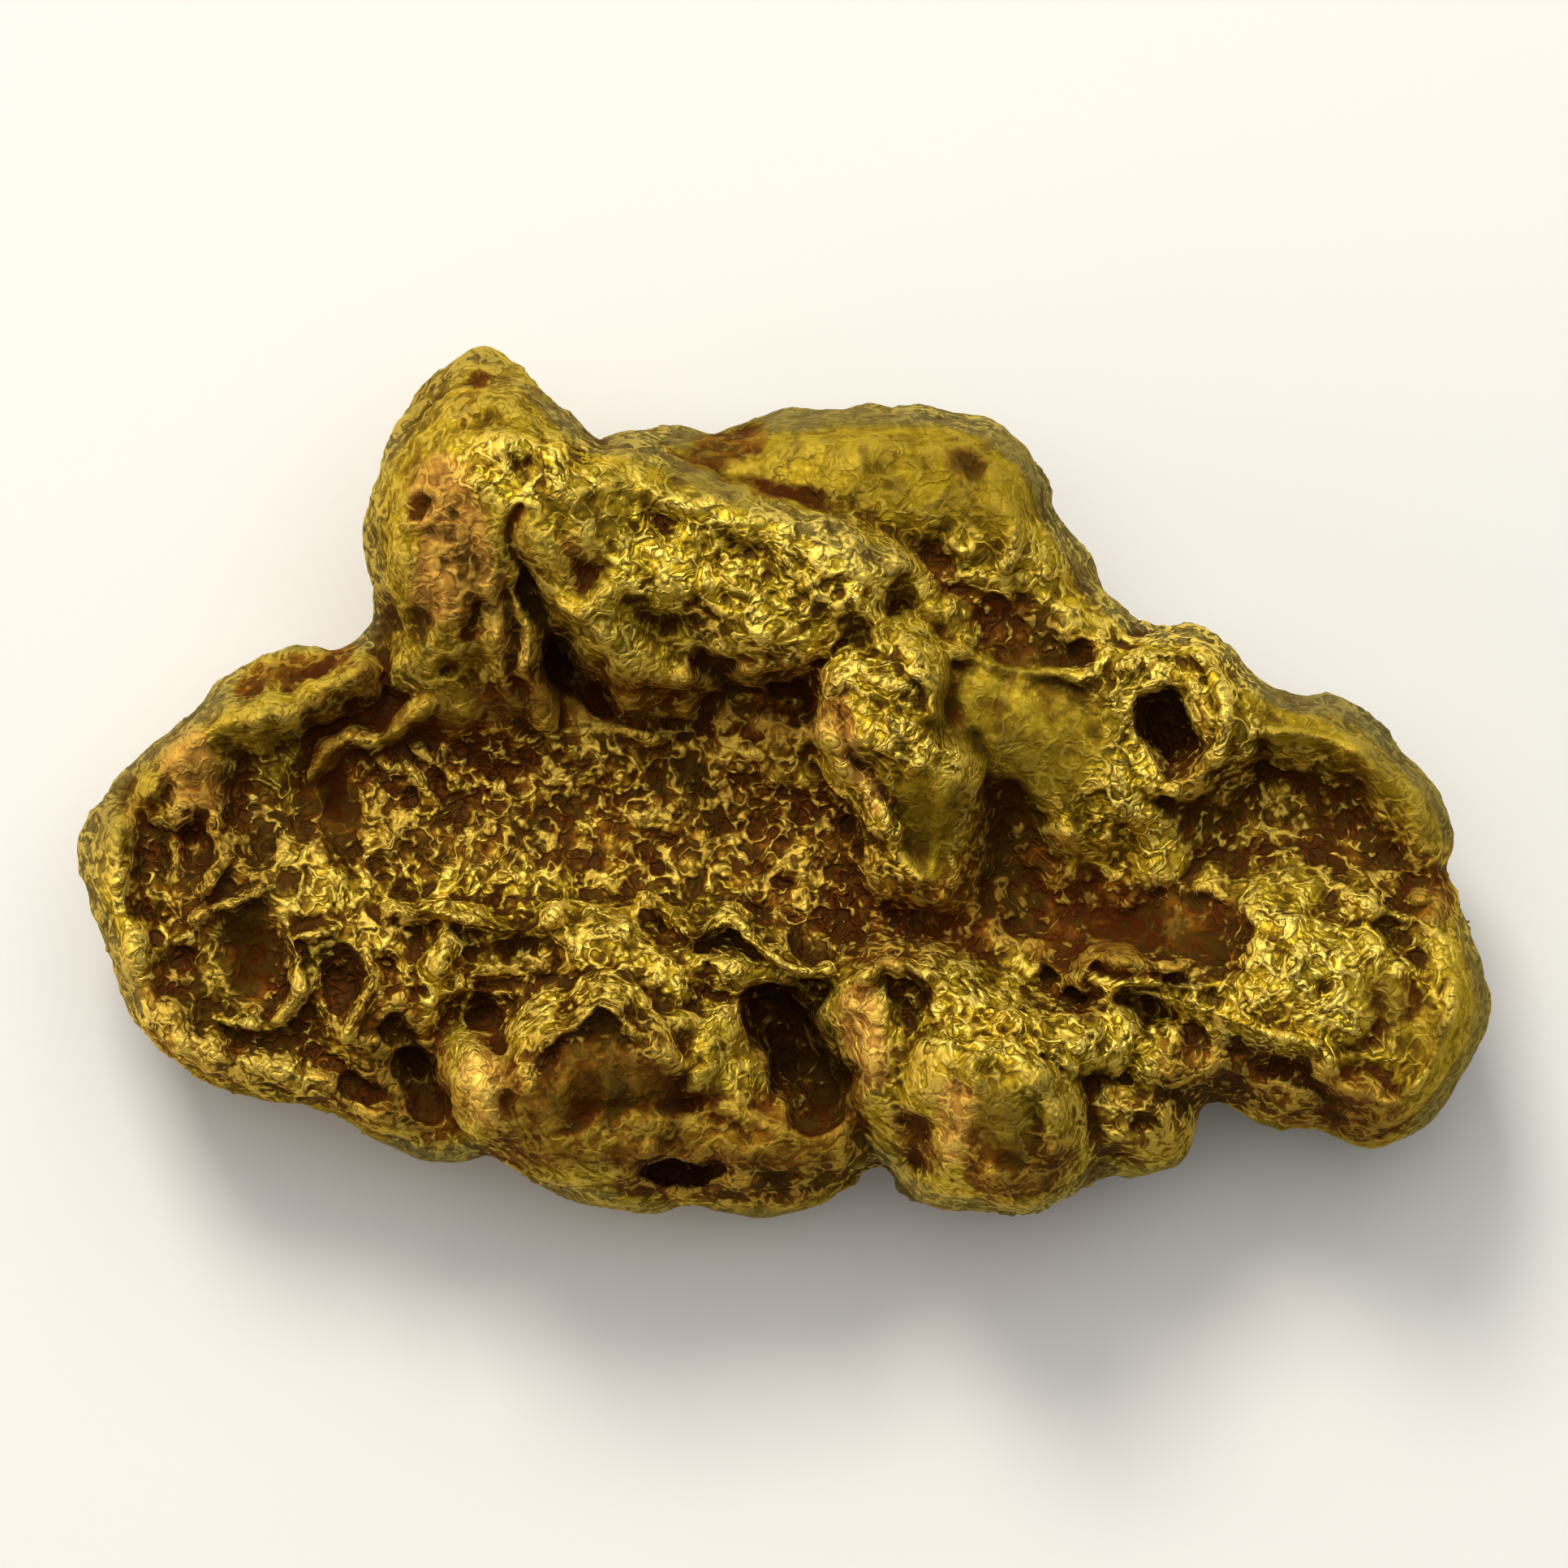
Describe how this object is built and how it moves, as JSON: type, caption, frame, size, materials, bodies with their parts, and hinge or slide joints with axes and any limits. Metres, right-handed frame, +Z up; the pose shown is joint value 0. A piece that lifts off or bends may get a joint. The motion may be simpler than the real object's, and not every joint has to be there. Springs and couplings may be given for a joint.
{
  "type": "gold nugget",
  "caption": "Solid lump of native gold with a rough, pitted and folded upper face and a rounded back; lies on its broad back as a mineral specimen.",
  "frame": {"origin": "on the ground, under the middle of the nugget's box", "axes": "+X along the nugget's length towards its east end, +Y across it towards its tallest lump, +Z up, out of its rough upper face"},
  "size_m": [0.036, 0.022, 0.0117],
  "materials": {
    "gold": "native gold, worn and pitted, half gloss, with red-brown iron oxide in the hollows"
  },
  "bodies": {
    "root": {"gold_nugget": "gold"}
  },
  "joints": []
}
